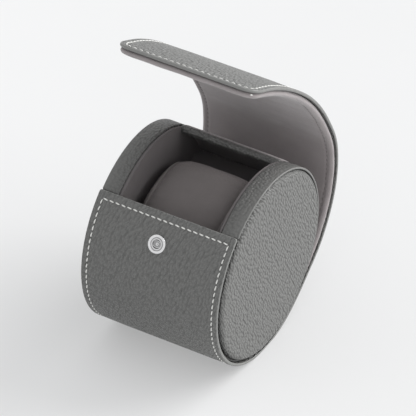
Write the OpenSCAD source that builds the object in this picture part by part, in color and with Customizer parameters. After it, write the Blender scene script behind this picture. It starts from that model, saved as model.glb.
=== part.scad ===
// Watch travel case: a round leather roll for one watch.
// A drum on its side, with a lift-out pillow inside and a long padded flap that closes over the front.
// Frame: X runs along the drum, +Y is the back, +Z is up. The origin is on the table, under the drum's axis.
// Angles in the Y-Z plane are measured from +Y (back) towards +Z (up).

/* [Drum] */
// Outside diameter over the wrapped leather
drum_d = 104; // [96:1:114]
// Width of the case from end to end
drum_w = 76; // [68:1:90]
// Width of the flat that the case stands on
base_flat_w = 20; // [14:1:24]
// Width of the bay between the two end pucks
bay_w = 55; // [46:1:58]
// Depth of the domed end panels below the rim edge
panel_recess = 0.3; // [0.2:0.1:1.5]
// Rise of the dome of the end panels
panel_dome = 1.5; // [0.5:0.1:2]

/* [Layers] */
// Thickness of the outer leather
leather_t = 1.55; // [1.2:0.05:2]
// Thickness of the leather bands and boards under the wrap
band_t = 1.0; // [0.8:0.1:1.4]
// Thickness of the stiff tube
tube_t = 1.4; // [1:0.1:2.4]
// Thickness of the bay's lining
bay_lining_t = 1.0; // [0.6:0.1:1.6]
// Thickness of the padded lining of the flap
flap_lining_t = 3.8; // [2.5:0.1:4.5]
// Glue line between two layers
glue = 0.05; // [0.03:0.01:0.1]

/* [Opening] */
// Angle of the top edge of the front panel
front_edge_a = 130.7; // [122:0.1:136]
// Angle of the top edge of the back wall
rear_edge_a = 57; // [48:1:64]
// Radius of the rolled lip on the back wall
rear_lip_r = 1.5; // [1:0.1:2]
// Angle at which the flap leaves the drum
flap_root_a = -46; // [-52:1:-40]

/* [Flap] */
// Angle over which the closed flap lifts off the drum to its full thickness
flap_lift_a = 26; // [24:1:28]
// Angle of the closed flap's front edge
flap_end_a = 159; // [157:0.5:161]
// Room between the drum and the lining at the closed flap's hinges
closed_room = 2.1; // [2:0.1:3]
// Angle that each hinge is open as stored, from the drum to the front edge; 0 where the flap keeps its curve
open_a = [0, 19, 0, 0, 14.5, 15, 17.5, 17.5];
// Free gap between neighbouring segments
seg_gap = 0.4; // [0.3:0.05:0.8]
// How much further the flap uncurls, as a share of each stored opening
further_open = 0.6; // [0.3:0.05:0.8]
// How far the whole flap leans back from where it is stored
lean_a = 45; // [20:1:45]
// Corner radius of the flap's front edge
flap_corner_r = 8; // [3:0.5:12]
// How far the lining stays inside the leather's edge
lining_inset = 0.8; // [0.4:0.1:2]

/* [Snap] */
// Angle from the closed flap's front edge back to the snap
snap_back_a = 11; // [9:0.5:15]
// Diameter of the snap socket
socket_d = 9.5; // [8:0.5:11]
// Height of the snap socket above the leather
socket_h = 1.1; // [0.8:0.1:1.2]
// Diameter of the hole in the socket
socket_hole_d = 4.8; // [4.4:0.1:5.2]
// Room between the socket and the lining round it
socket_room = 1.2; // [0.8:0.1:2]
// Diameter of the stud's knob
stud_d = 3.6; // [3:0.1:3.8]
// Free height between the closed stud and the leather under the socket
stud_clear = 0.2; // [0.1:0.05:0.4]
// Diameter of the rivet post through the leather
rivet_d = 3.2; // [2.6:0.1:3.4]
// Clearance round a rivet post
rivet_clear = 0.1; // [0.05:0.05:0.3]

/* [Pillow] */
// Length of the pillow's oval section
pillow_l = 62; // [56:1:64]
// Height of the pillow's oval section
pillow_h = 48; // [40:1:52]
// Gap between the pillow and the bay wall on either side
pillow_side_gap = 2; // [1:0.25:5]
// Distance of the pillow's centre above the drum's axis, along its lean
pillow_rise = 14; // [8:1:16]
// Direction that the pillow's broad face looks in
pillow_a = 108; // [95:1:118]
// Thickness of the pillow's cover
pillow_cover_t = 2; // [1:0.5:4]
// Thickness of the pads on the pillow's ends
pillow_end_t = 3; // [2:0.5:5]
// Gap between the pillow and the bed that carries it
pillow_seat_gap = 0.3; // [0.2:0.05:0.5]
// Height of the bed's shoulders along the pillow's lean, from the drum's axis
bed_top = 4; // [-4:1:8]

/* [Hidden] */
$fn = 128;

drum_r = drum_d / 2;
axis_h = sqrt(drum_r ^ 2 - (base_flat_w / 2) ^ 2);
wrap_in_r = drum_r - leather_t;
band_r = wrap_in_r - glue;
band_in_r = band_r - band_t;
tube_r = band_in_r - glue;
tube_in_r = tube_r - tube_t;
lining_r = tube_in_r - glue;
bay_r = lining_r - bay_lining_t;
wall_t = 1;
puck_w = (drum_w - bay_w) / 2;
panel_t = 2 * panel_recess + panel_dome;
block_w = puck_w - wall_t - panel_t - 2 * glue;
block_r = tube_in_r - glue;
panel_r = tube_r;
full = 2 * drum_r;
pillow_w = bay_w - 2 * pillow_side_gap;
snap_a = flap_end_a - snap_back_a;

// Flap: hinge points of the closed flap, its closed directions and its stored directions
hinge_count = len(open_a);
last = hinge_count - 1;
closed_r = drum_r + flap_lining_t + closed_room;
seg_step = (flap_end_a - flap_root_a - flap_lift_a) / last;
function polar(r, a) = [r * cos(a), r * sin(a)];
root_room = 0.3;
function closed_hinge(k) = k == 0 ? polar(wrap_in_r + root_room, flap_root_a)
    : polar(closed_r, flap_root_a + flap_lift_a + (k - 1) * seg_step);
function root_dir() = let (d = closed_hinge(1) - closed_hinge(0)) atan2(d[1], d[0]);
function closed_dir(k) = k == 0 ? root_dir() : flap_root_a + flap_lift_a + 90 + (k - 0.5) * seg_step;
function sum_open(k) = k < 0 ? 0 : open_a[k] + sum_open(k - 1);
function rest_dir(k) = closed_dir(k) - sum_open(k);
function seg_len(k) = norm(closed_hinge(k + 1) - closed_hinge(k));
function hinge(k) = k == 0 ? closed_hinge(0) : hinge(k - 1) + seg_len(k - 1) * polar(1, rest_dir(k - 1));

// Direction of the smooth flap at a hinge: it leaves the drum a little outwards
root_kick = 6;
function node_dir(k) = k == 0 ? flap_root_a + 90 - root_kick
    : k == hinge_count ? rest_dir(last) : (rest_dir(k - 1) + rest_dir(k)) / 2;

// Smooth curve along segment k, for t from 0 to 1, and its normal towards the drum
function bezier(p, q, r, s, t) = (1 - t) ^ 3 * p + 3 * (1 - t) ^ 2 * t * q + 3 * (1 - t) * t ^ 2 * r + t ^ 3 * s;
function flap_at(k, t) = bezier(
    hinge(k), hinge(k) + seg_len(k) / 3 * polar(1, node_dir(k)),
    hinge(k + 1) - seg_len(k) / 3 * polar(1, node_dir(k + 1)), hinge(k + 1), t);
probe = 0.01;
function flap_slope(k, t) = let (d = flap_at(k, min(t + probe, 1)) - flap_at(k, max(t - probe, 0))) d / norm(d);
function inward(d) = [-d[1], d[0]];

// Offsets of a layer from the hinge line, positive towards the drum.
// The lining starts thin where the flap leaves the drum, and thins again at the front edge.
lining_root_t = 0.4;
lining_tip_t = 2.6;
lining_from_t = 0.2;
lining_full_t = 0.7;
function lining_at(k, t) = k == 0
    ? lining_root_t + (flap_lining_t - lining_root_t) * min(1, (t - lining_from_t) / (lining_full_t - lining_from_t))
    : k == last ? flap_lining_t + (lining_tip_t - flap_lining_t) * t ^ 3
    : flap_lining_t;
function near_off(layer) = layer == "lining" ? glue : 0;
function far_off(layer, k, t) = layer == "lining" ? lining_at(k, t) : -leather_t;

// How far a hinge closes the lining, or opens the leather, from where the flap is stored
function close_of(k) = k >= hinge_count ? 0 : open_a[k];
function open_of(k) = k >= hinge_count ? 0 : k == 0 ? lean_a : further_open * open_a[k];
function start_t(layer, k) = layer == "lining" && k == 0 ? lining_from_t : 0;
function travel(layer, k) = layer == "lining" ? close_of(k) : open_of(k);

// Point on a segment's end face, which tilts back by half of the hinge's travel and a margin
v_margin = 1.5;
function set_back(off, turn_a) = seg_gap / 2 + abs(off) * tan(turn_a / 2 + v_margin);
function end_point(k, t, off, turn_a) = let (s = flap_slope(k, t), side = t < 0.5 ? 1 : -1)
    flap_at(k, t) + side * set_back(off, turn_a) * s + off * inward(s);

// The wrap ends clear of the first segment, also when the flap leans back
wrap_end_a = 360 + flap_root_a - asin(set_back(leather_t, lean_a) / drum_r);

// Outline of one layer of segment k
seg_steps = 6;
module flap_section(layer, k) {
    near = near_off(layer);
    t0 = start_t(layer, k);
    a0 = travel(layer, k);
    a1 = travel(layer, k + 1);
    steps = [for (i = [1:seg_steps - 1]) t0 + (1 - t0) * i / seg_steps];
    inner = [for (t = steps) flap_at(k, t) + near * inward(flap_slope(k, t))];
    outer = [for (t = steps) flap_at(k, t) + far_off(layer, k, t) * inward(flap_slope(k, t))];
    polygon(concat([end_point(k, t0, near, a0)], inner, [end_point(k, 1, near, a1)],
        [end_point(k, 1, far_off(layer, k, 1), a1)], [for (i = [len(outer) - 1:-1:0]) outer[i]],
        [end_point(k, t0, far_off(layer, k, t0), a0)]));
}

// Snap: place on the drum, and the same place on the stored flap
snap_p = polar(drum_r, snap_a);
snap_turn = closed_dir(last) - rest_dir(last);
function turn(v, a) = [v[0] * cos(a) - v[1] * sin(a), v[0] * sin(a) + v[1] * cos(a)];
function on_flap(v) = hinge(last) + turn(v - closed_hinge(last), -snap_turn);
stud_axis_a = snap_a + 180 - snap_turn;
lining_hole_d = socket_d + 2 * socket_room;
snap_off_a = snap_a - closed_dir(last) + 90;
flap_line_r = closed_r * cos(seg_step / 2) / cos(snap_off_a);

// Extrudes a Y-Z outline along X, centred, with Z measured from the drum's axis
module along_x(w) {
    translate([0, 0, axis_h]) rotate([90, 0, 90]) linear_extrude(w, center = true) children();
}

// Places children with their +Z along a direction of the Y-Z plane
module aim(p, a) {
    translate([0, p[0], p[1] + axis_h]) rotate([a - 90, 0, 0]) children();
}

// Sector of the Y-Z plane from angle a0 to a1, less than half a turn at a time
module wedge(a0, a1) {
    steps = ceil((a1 - a0) / 45);
    polygon(concat([[0, 0]], [for (i = [0:steps]) polar(full, a0 + (a1 - a0) * i / steps)]));
}

module ring(r_out, r_in) {
    difference() {
        circle(r = r_out);
        circle(r = r_in);
    }
}

module arc(r_out, r_in, a0, a1) {
    intersection() {
        ring(r_out, r_in);
        wedge(a0, a1);
    }
}

// Everything above the flat that the case stands on
module above_base(w) {
    intersection() {
        children();
        translate([-w, -full, 0]) cube([2 * w, 2 * full, 3 * full]);
    }
}

// Bore along the snap's axis, through the layers of the front panel
module snap_bore(d) {
    aim([0, 0], snap_a) cylinder(h = full, d = d);
}

// Stiff tube between the pucks, open from the back wall to the front panel
module tube_core() {
    color("dimgray") along_x(bay_w - 2 * glue) arc(tube_r, tube_in_r, front_edge_a, 360 + rear_edge_a);
}

// The tube goes on as a whole ring round each puck, up to the end panel
module tube_ring(side) {
    w = puck_w - panel_t - glue;
    color("dimgray") translate([side * (bay_w + w) / 2, 0, 0]) along_x(w) ring(tube_r, tube_in_r);
}

// Board under the wrap, between the two bands
module wrap_board() {
    color("dimgray") difference() {
        along_x(bay_w - 2 * glue) arc(band_r, band_in_r, front_edge_a, wrap_end_a);
        snap_bore(rivet_d + 2 * rivet_clear);
    }
}

// Soft cover on the outside of the back wall, seen behind the open flap
module back_cover() {
    color("#625c5c") along_x(bay_w - 2 * glue) arc(band_r, band_in_r, wrap_end_a + 0.5, 360 + rear_edge_a);
}

// Outer leather, from the top of the front panel down and round to where the flap leaves the drum
module outer_wrap() {
    color("#676767") difference() {
        above_base(drum_w) along_x(drum_w) arc(drum_r, wrap_in_r, front_edge_a, wrap_end_a);
        snap_bore(rivet_d + 2 * rivet_clear);
    }
}

module band(side) {
    color("#6e6e6e") translate([side * (drum_w - puck_w) / 2, 0, 0]) along_x(puck_w) ring(band_r, band_in_r);
}

module end_block(side) {
    x = bay_w / 2 + wall_t + glue + block_w / 2;
    color("tan") translate([side * x, 0, 0]) along_x(block_w) circle(r = block_r);
}

// Padded end panel: a shallow dome whose edge rolls down below the rim
dome_steps = 8;
dome_power = 8;
module end_panel(side) {
    x0 = drum_w / 2 - panel_t;
    dome = [for (i = [0:dome_steps]) let (f = sin(90 * i / dome_steps), h = 1 - f ^ dome_power)
        [panel_r * f, panel_recess + panel_dome * h]];
    color("#898989") translate([side * x0, 0, axis_h]) rotate([0, side * 90, 0]) rotate_extrude()
        polygon(concat([[0, 0]], dome, [[panel_r, 0]]));
}

// Fabric disc on the bay's side of a puck
module bay_wall(side) {
    x = bay_w / 2 + wall_t / 2;
    color("#3c3a3a") translate([side * x, 0, 0]) along_x(wall_t) circle(r = block_r);
}

module bay_lining() {
    color("#3c3a3a") along_x(bay_w - 2 * glue) arc(lining_r, bay_r, front_edge_a + 0.6, 360 + rear_edge_a - 0.6);
}

// Rolled edge on top of the back wall
module rear_lip() {
    p = polar((band_r + bay_r) / 2, rear_edge_a) + rear_lip_r * polar(1, rear_edge_a + 90);
    color("#676767") translate([-bay_w / 2 + glue, p[0], p[1] + axis_h]) rotate([0, 90, 0])
        cylinder(h = bay_w - 2 * glue, r = rear_lip_r, $fn = 48);
}

oval_steps = 72;
oval_power = 2.2;
function oval_term(v) = sign(v) * abs(v) ^ (2 / oval_power);

// Pillow's oval outline, grown by d, in place in the Y-Z plane
module pillow_oval(d = 0) {
    translate(polar(pillow_rise, pillow_a)) rotate(pillow_a - 90)
        polygon([for (i = [0:oval_steps - 1]) let (a = 360 * i / oval_steps)
            [(pillow_l / 2 + d) * oval_term(cos(a)), (pillow_h / 2 + d) * oval_term(sin(a))]]);
}

// Foam bed in the bottom of the bay, hollowed to the pillow
module bay_bed() {
    color("#4a4747") along_x(bay_w - 2 * glue) difference() {
        circle(r = bay_r - glue);
        rotate(pillow_a - 90) translate([-full, bed_top]) square([2 * full, full]);
        pillow_oval(pillow_seat_gap);
    }
}

module pillow_core() {
    color("wheat") along_x(pillow_w - 2 * pillow_end_t - 2 * glue) pillow_oval(-pillow_cover_t - glue);
}

module pillow_cover() {
    color("#565250") along_x(pillow_w - 2 * pillow_end_t) difference() {
        pillow_oval();
        pillow_oval(-pillow_cover_t);
    }
}

module pillow_end(side) {
    x = pillow_w / 2 - pillow_end_t / 2;
    color("#565250") translate([side * (x + glue / 2), 0, 0]) along_x(pillow_end_t - glue) pillow_oval(-0.6);
}

// Snap socket: a round metal ring with a stepped face
module snap_socket() {
    rim = socket_d / 2;
    hole = socket_hole_d / 2;
    color("silver") aim(snap_p, snap_a) rotate_extrude()
        polygon([[hole, 0], [rim, 0], [rim, socket_h * 0.45], [rim - 0.5, socket_h * 0.8], [rim - 1, socket_h * 0.8],
            [rim - 1.3, socket_h * 0.55], [hole + 0.5, socket_h * 0.55], [hole + 0.3, socket_h], [hole, socket_h]]);
}

// Rivet that holds the socket: a post through the leather and board, with a washer on the board's inside
module socket_rivet() {
    post_h = leather_t + glue + band_t - 2 * glue;
    color("silver") aim(snap_p - (post_h + glue) * polar(1, snap_a), snap_a) cylinder(h = post_h, d = rivet_d, $fn = 48);
}

// Washer between the flap's leather and the stud
washer_t = 0.4;
module stud_washer() {
    base = on_flap(polar(flap_line_r - 2 * glue, snap_a));
    color("silver") aim(base, stud_axis_a) cylinder(h = washer_t, d = socket_d - 1.5, $fn = 64);
}

// Stud under the flap's front edge, in a round hole of the lining
module snap_stud() {
    base_r = flap_line_r - washer_t - 3 * glue;
    reach = base_r - drum_r - stud_clear;
    flange_r = socket_d / 2;
    flange_t = 0.8;
    knob = stud_d / 2;
    neck = knob - 0.4;
    color("silver") aim(on_flap(polar(base_r, snap_a)), stud_axis_a) rotate_extrude($fn = 64)
        polygon([[0, 0], [flange_r, 0], [flange_r, flange_t / 2], [flange_r - 0.6, flange_t], [neck, flange_t],
            [neck, reach - 1.6], [knob, reach - 1.1], [knob, reach - 0.5], [knob - 0.5, reach], [0, reach]]);
}

// Plan of the last segment, with the flap's two rounded front corners, made thick enough to trim every layer
module front_plan(inset) {
    r = flap_corner_r - inset;
    w = drum_w - 2 * inset;
    end = seg_len(last) - inset;
    translate([0, hinge(last)[0], hinge(last)[1] + axis_h]) rotate([rest_dir(last), 0, 0])
        linear_extrude(2 * (leather_t + flap_lining_t), center = true) {
            translate([-w / 2, -seg_len(last) / 2]) square([w, seg_len(last) / 2 + end - r]);
            translate([r - w / 2, 0]) square([w - 2 * r, end]);
            translate([w / 2 - r, end - r]) circle(r = r, $fn = 64);
            translate([r - w / 2, end - r]) circle(r = r, $fn = 64);
        }
}

// Leather of segment k, from 1 at the drum to the last at the front edge
module flap_leather(k) {
    color("#767676") intersection() {
        along_x(drum_w) flap_section("leather", k - 1);
        if (k == hinge_count) front_plan(0);
    }
}

// Padded lining of segment k
module flap_lining(k) {
    color("#625c5c") difference() {
        intersection() {
            along_x(drum_w - 2 * lining_inset) flap_section("lining", k - 1);
            if (k == hinge_count) front_plan(lining_inset);
        }
        if (k == hinge_count) aim(on_flap(polar(closed_r, snap_a)), stud_axis_a) cylinder(h = closed_r, d = lining_hole_d);
    }
}

tube_core();
tube_ring(-1);  // left_tube_ring
tube_ring(1);  // right_tube_ring
wrap_board();
back_cover();
outer_wrap();
band(-1);  // left_band
band(1);  // right_band
end_block(-1);  // left_end_block
end_block(1);  // right_end_block
end_panel(-1);  // left_end_panel
end_panel(1);  // right_end_panel
bay_wall(-1);  // left_bay_wall
bay_wall(1);  // right_bay_wall
bay_lining();
rear_lip();
bay_bed();
snap_socket();
socket_rivet();
snap_stud();
stud_washer();
pillow_core();
pillow_cover();
pillow_end(-1);  // pillow_end_left
pillow_end(1);  // pillow_end_right
for (k = [1:hinge_count]) {
    flap_leather(k);
    flap_lining(k);
}
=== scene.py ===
"""Watch travel case: a round leather roll, open, with its padded flap standing over it."""

import math
import random
from collections import namedtuple

import bpy
import bmesh
import numpy as np
from mathutils import Matrix, Vector, noise
from mathutils.bvhtree import BVHTree


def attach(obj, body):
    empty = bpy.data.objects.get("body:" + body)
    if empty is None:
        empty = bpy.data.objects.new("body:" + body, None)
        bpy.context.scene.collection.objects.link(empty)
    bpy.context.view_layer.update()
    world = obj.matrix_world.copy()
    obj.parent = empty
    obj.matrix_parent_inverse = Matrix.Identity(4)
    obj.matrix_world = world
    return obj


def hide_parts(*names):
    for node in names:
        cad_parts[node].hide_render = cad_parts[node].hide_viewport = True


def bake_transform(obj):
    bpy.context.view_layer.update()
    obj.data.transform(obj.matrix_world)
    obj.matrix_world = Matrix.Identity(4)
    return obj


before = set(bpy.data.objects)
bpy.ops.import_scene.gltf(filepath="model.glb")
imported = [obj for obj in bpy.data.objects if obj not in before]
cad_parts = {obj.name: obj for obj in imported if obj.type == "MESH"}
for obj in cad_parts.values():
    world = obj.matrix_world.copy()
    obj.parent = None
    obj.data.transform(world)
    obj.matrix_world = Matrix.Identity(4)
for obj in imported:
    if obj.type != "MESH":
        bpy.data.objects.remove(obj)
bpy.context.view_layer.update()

MM = 0.001
TURN = 2 * math.pi
SEED = 7
random.seed(SEED)

# Sizes of the CAD model, in mm and degrees; angles in the Y-Z plane go from +Y towards +Z
DRUM_R, DRUM_W, LEATHER_T = 52.0, 76.0, 1.55
WRAP_IN_R, BAND_R, BAY_R = 50.45, 50.4, 46.9
FOOT_HALF = 10.0
AXIS_H = math.sqrt(DRUM_R ** 2 - FOOT_HALF ** 2)
FRONT_A, REAR_A, WRAP_END_A = 130.7, 57.0, 313.0
ROOT_A, LIFT_A, END_A = -46.0, 26.0, 159.0
LINING_T, CLOSED_ROOM = 3.8, 2.1
OPEN_A = [0, 19, 0, 0, 14.5, 15, 17.5, 17.5]
ROOT_ROOM, ROOT_KICK = 0.3, 6.0
LAST = len(OPEN_A) - 1
CLOSED_R = DRUM_R + LINING_T + CLOSED_ROOM
SEG_STEP = (END_A - ROOT_A - LIFT_A) / LAST
TIP_CORNER_R, LINING_INSET = 8.0, 0.8
SNAP_A, SOCKET_D = 148.0, 9.5
PILLOW = {"l": 62.0, "h": 48.0, "w": 51.0, "rise": 14.0, "a": 108.0, "power": 2.2}
BED_TOP = 4.0
FLOOR_GAP = 0.02


def polar(r, a):
    return np.array([r * math.cos(math.radians(a)), r * math.sin(math.radians(a))])


def turned(p, angle):
    """Points of a plane turned about its origin, by an angle in radians."""
    p = np.asarray(p, float)
    c, s = math.cos(angle), math.sin(angle)
    return np.stack([p[..., 0] * c - p[..., 1] * s, p[..., 0] * s + p[..., 1] * c], -1)


def bell(v, width, power=2):
    """1 at zero, falling away on both sides of it over about the width."""
    return np.exp(-((v / width) ** power))


# ---------------------------------------------------------------- the flap's line, as in the CAD source
def closed_hinge(k):
    if k == 0:
        return polar(WRAP_IN_R + ROOT_ROOM, ROOT_A)
    return polar(CLOSED_R, ROOT_A + LIFT_A + (k - 1) * SEG_STEP)


def closed_dir(k):
    if k == 0:
        d = closed_hinge(1) - closed_hinge(0)
        return math.degrees(math.atan2(d[1], d[0]))
    return ROOT_A + LIFT_A + 90 + (k - 0.5) * SEG_STEP


def rest_dir(k):
    return closed_dir(k) - sum(OPEN_A[: k + 1])


def seg_len(k):
    return np.linalg.norm(closed_hinge(k + 1) - closed_hinge(k))


HINGES = [closed_hinge(0)]
for k in range(LAST + 1):
    HINGES.append(HINGES[-1] + seg_len(k) * polar(1, rest_dir(k)))


def node_dir(k):
    if k == 0:
        return ROOT_A + 90 - ROOT_KICK
    if k > LAST:
        return rest_dir(LAST)
    return (rest_dir(k - 1) + rest_dir(k)) / 2


def bezier(p, q, r, s, t):
    t = np.asarray(t)[:, None]
    return (1 - t) ** 3 * p + 3 * (1 - t) ** 2 * t * q + 3 * (1 - t) * t ** 2 * r + t ** 3 * s


def flap_curve(k, t):
    third = seg_len(k) / 3
    p, s = HINGES[k], HINGES[k + 1]
    return bezier(p, p + third * polar(1, node_dir(k)), s - third * polar(1, node_dir(k + 1)), s, t)


def make_path():
    """The line between leather and lining, from the front panel's top edge to the flap's tip."""
    leave_a, join_t = 300.0, 0.45
    arc = np.array([polar(WRAP_IN_R, a) for a in np.arange(FRONT_A, leave_a, 0.3)])
    p0, t0 = polar(WRAP_IN_R, leave_a), polar(1, leave_a + 90)
    ahead = flap_curve(0, [join_t, join_t + 0.01])
    p1 = ahead[0]
    t1 = (ahead[1] - ahead[0]) / np.linalg.norm(ahead[1] - ahead[0])
    third = np.linalg.norm(p1 - p0) / 3
    bridge = bezier(p0, p0 + third * t0, p1 - third * t1, p1, np.linspace(0, 1, 60)[:-1])
    flap = [flap_curve(0, np.linspace(join_t, 1, 50)[:-1])]
    flap += [flap_curve(k, np.linspace(0, 1, 80)[:-1]) for k in range(1, LAST)]
    flap.append(flap_curve(LAST, np.linspace(0, 1, 80)))
    pts = np.vstack([arc, bridge, *flap])
    s = np.r_[0, np.cumsum(np.linalg.norm(np.diff(pts, axis=0), axis=1))]
    fine = np.arange(0, s[-1], 0.2)
    pts = np.stack([np.interp(fine, s, pts[:, 0]), np.interp(fine, s, pts[:, 1])], 1)
    slope = np.gradient(pts, axis=0)
    angle = np.unwrap(np.arctan2(slope[:, 1], slope[:, 0]))
    reach = 12
    kernel = np.exp(-((np.arange(-reach, reach + 1) / 6.0) ** 2))
    padded = np.r_[np.full(reach, angle[0]), angle, np.full(reach, angle[-1])]
    return fine, pts, np.convolve(padded, kernel / kernel.sum(), "valid")


PATH_S, PATH_P, PATH_A = make_path()
LENGTH = float(PATH_S[-1])


def place(s, x, n):
    """Points at arc length s, width x and depth n (positive towards the drum), in metres."""
    s, x, n = np.broadcast_arrays(*(np.asarray(v, float) for v in (s, x, n)))
    a = np.interp(s, PATH_S, PATH_A)
    y = np.interp(s, PATH_S, PATH_P[:, 0]) - n * np.sin(a)
    z = np.interp(s, PATH_S, PATH_P[:, 1]) + n * np.cos(a) + AXIS_H
    return np.stack([x, y, np.maximum(z, FLOOR_GAP)], -1) * MM


def arc_at(p):
    return float(PATH_S[np.argmin(((PATH_P - p) ** 2).sum(1))])


HINGE_S = [arc_at(p) for p in HINGES]
MID_S = [(HINGE_S[k] + HINGE_S[k + 1]) / 2 for k in range(LAST + 1)]
SNAP_S, SNAP_PINCH = arc_at(polar(WRAP_IN_R, SNAP_A)), 6.5
LEAVE_S = HINGE_S[0] - 9.0
BEND_CLEAR = 1.2
# A part of the long leather: its one or two bodies, where it is cut, and the stretch that bends
Part = namedtuple("Part", "tag bodies start stop bend")
PARTS = [Part(*row) for row in (
    ("wrap", ("case",), 0.0, LEAVE_S, None),
    ("root", ("case", "flap_root"), LEAVE_S, MID_S[0], (LEAVE_S + BEND_CLEAR, MID_S[0] - BEND_CLEAR)),
    ("back", ("flap_root", "flap_back"), MID_S[0], MID_S[2], (MID_S[0] + BEND_CLEAR, MID_S[1])),
    ("shoulder", ("flap_back", "flap_shoulder"), MID_S[2], MID_S[4], (MID_S[3], MID_S[4] - BEND_CLEAR)),
    ("upper", ("flap_shoulder", "flap_upper"), MID_S[4], MID_S[5],
     (MID_S[4] + BEND_CLEAR, MID_S[5] - BEND_CLEAR)),
    ("front", ("flap_upper", "flap_front"), MID_S[5], MID_S[6],
     (MID_S[5] + BEND_CLEAR, MID_S[6] - BEND_CLEAR)),
    ("tip", ("flap_front", "flap_tip"), MID_S[6], LENGTH, (MID_S[6] + BEND_CLEAR, MID_S[7])),
)]


def carry(ob, part):
    """Puts a piece of the long leather on its body; one that lies between two bodies only has its placement
    baked into its points.
    """
    if part.bend is None:
        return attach(ob, part.bodies[0])
    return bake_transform(ob)


# ---------------------------------------------------------------- meshes
def link(name, me):
    ob = bpy.data.objects.new(name, me)
    bpy.context.scene.collection.objects.link(ob)
    return ob


def make(name, verts, faces, mat, merge=True):
    """A smooth-shaded object from points in metres, its faces turned outwards; merge joins equal points."""
    me = bpy.data.meshes.new(name)
    me.from_pydata([tuple(v) for v in np.asarray(verts).reshape(-1, 3)], [], [tuple(f) for f in faces])
    bm = bmesh.new()
    bm.from_mesh(me)
    if merge:
        bmesh.ops.remove_doubles(bm, verts=bm.verts, dist=2e-6)
    bmesh.ops.recalc_face_normals(bm, faces=bm.faces)
    bm.to_mesh(me)
    bm.free()
    me.shade_smooth()
    me.materials.append(mat)
    return link(name, me)


def quads(rows, ring, closed=False):
    """Faces between rows of points, each row a ring; closed also joins the last row to the first."""
    i, j = np.meshgrid(np.arange(rows if closed else rows - 1), np.arange(ring), indexing="ij")
    i2, j2 = (i + 1) % rows, (j + 1) % ring
    f = np.stack([i * ring + j, i2 * ring + j, i2 * ring + j2, i * ring + j2], -1)
    return [tuple(q) for q in f.reshape(-1, 4)]


def capped(rows, ring):
    """The same faces, with a cap on the first and on the last row."""
    first, last = range(ring), range(ring * (rows - 1), ring * rows)
    return quads(rows, ring) + [tuple(first)[::-1], tuple(last)]


def revolve(profile, turns, side, warp=None):
    """Closed profile of (x, r) in mm turned about the drum's axis, on its right side (1) or left (-1)."""
    profile = np.asarray(profile, float)
    a = np.radians(np.linspace(0.0, 360.0, turns, endpoint=False))[:, None]
    x, r = (np.repeat(profile[None, :, k], turns, 0) for k in (0, 1))
    if warp is not None:
        dx, dr = warp(x, r, a)
        x, r = x + dx, r + dr
    v = np.stack([side * x, r * np.cos(a), r * np.sin(a) + AXIS_H], -1) * MM
    return v.reshape(-1, 3), quads(turns, len(profile), closed=True)


def rounded(points, radius, steps=5):
    """Polygon with each corner rounded; radius is one number or one per corner."""
    pts = [np.array(p, float) for p in points]
    out, n = [], len(pts)
    for i, p in enumerate(pts):
        r = radius[i] if hasattr(radius, "__len__") else radius
        if r <= 0:
            out.append(p)
            continue
        a, b = pts[i - 1] - p, pts[(i + 1) % n] - p
        la, lb = np.linalg.norm(a), np.linalg.norm(b)
        half = math.acos(max(-1, min(1, float(a @ b / la / lb)))) / 2
        cut = min(r / math.tan(half), la * 0.48, lb * 0.48)
        p0, p1 = p + a / la * cut, p + b / lb * cut
        for t in np.linspace(0, 1, steps + 1):
            out.append((1 - t) ** 2 * p0 + 2 * t * (1 - t) * p + t * t * p1)
    return np.array(out)


def attribute(me, name, values):
    """A number or a vector at each point, which the materials read."""
    values = np.asarray(values, np.float32)
    kind, key = ("FLOAT_VECTOR", "vector") if values.ndim == 2 else ("FLOAT", "value")
    me.attributes.new(name, kind, "POINT").data.foreach_set(key, values.ravel())


def points(ob):
    """The object's points, in metres."""
    return np.array([v.co for v in ob.data.vertices])


def dress(ob, body, slot, *nodes, fill=None):
    """Puts a finished piece on its body, in place of the CAD nodes that it shows."""
    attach(ob, body)
    if nodes:
        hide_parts(*nodes)


def wobble(x, y, scale, seed=0.0):
    """Smooth noise from -1 to 1 over two arrays."""
    x, y = np.broadcast_arrays(np.asarray(x, float), np.asarray(y, float))
    flat = [noise.noise(Vector((p / scale, q / scale, seed))) for p, q in zip(x.ravel(), y.ravel())]
    return np.array(flat).reshape(x.shape)


# ---------------------------------------------------------------- materials
def srgb(*v):
    v = v * 3 if len(v) == 1 else v
    lin = [((c / 255 + 0.055) / 1.055) ** 2.4 if c > 10 else c / 255 / 12.92 for c in v]
    return (*lin, 1.0)


def scaled(colour, k):
    return (*(min(1.0, c * k) for c in colour[:3]), 1.0)


def tones(colour, *stops):
    """Stops of a ramp, each a position and a share of the colour."""
    return [(pos, scaled(colour, k)) for pos, k in stops]


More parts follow.
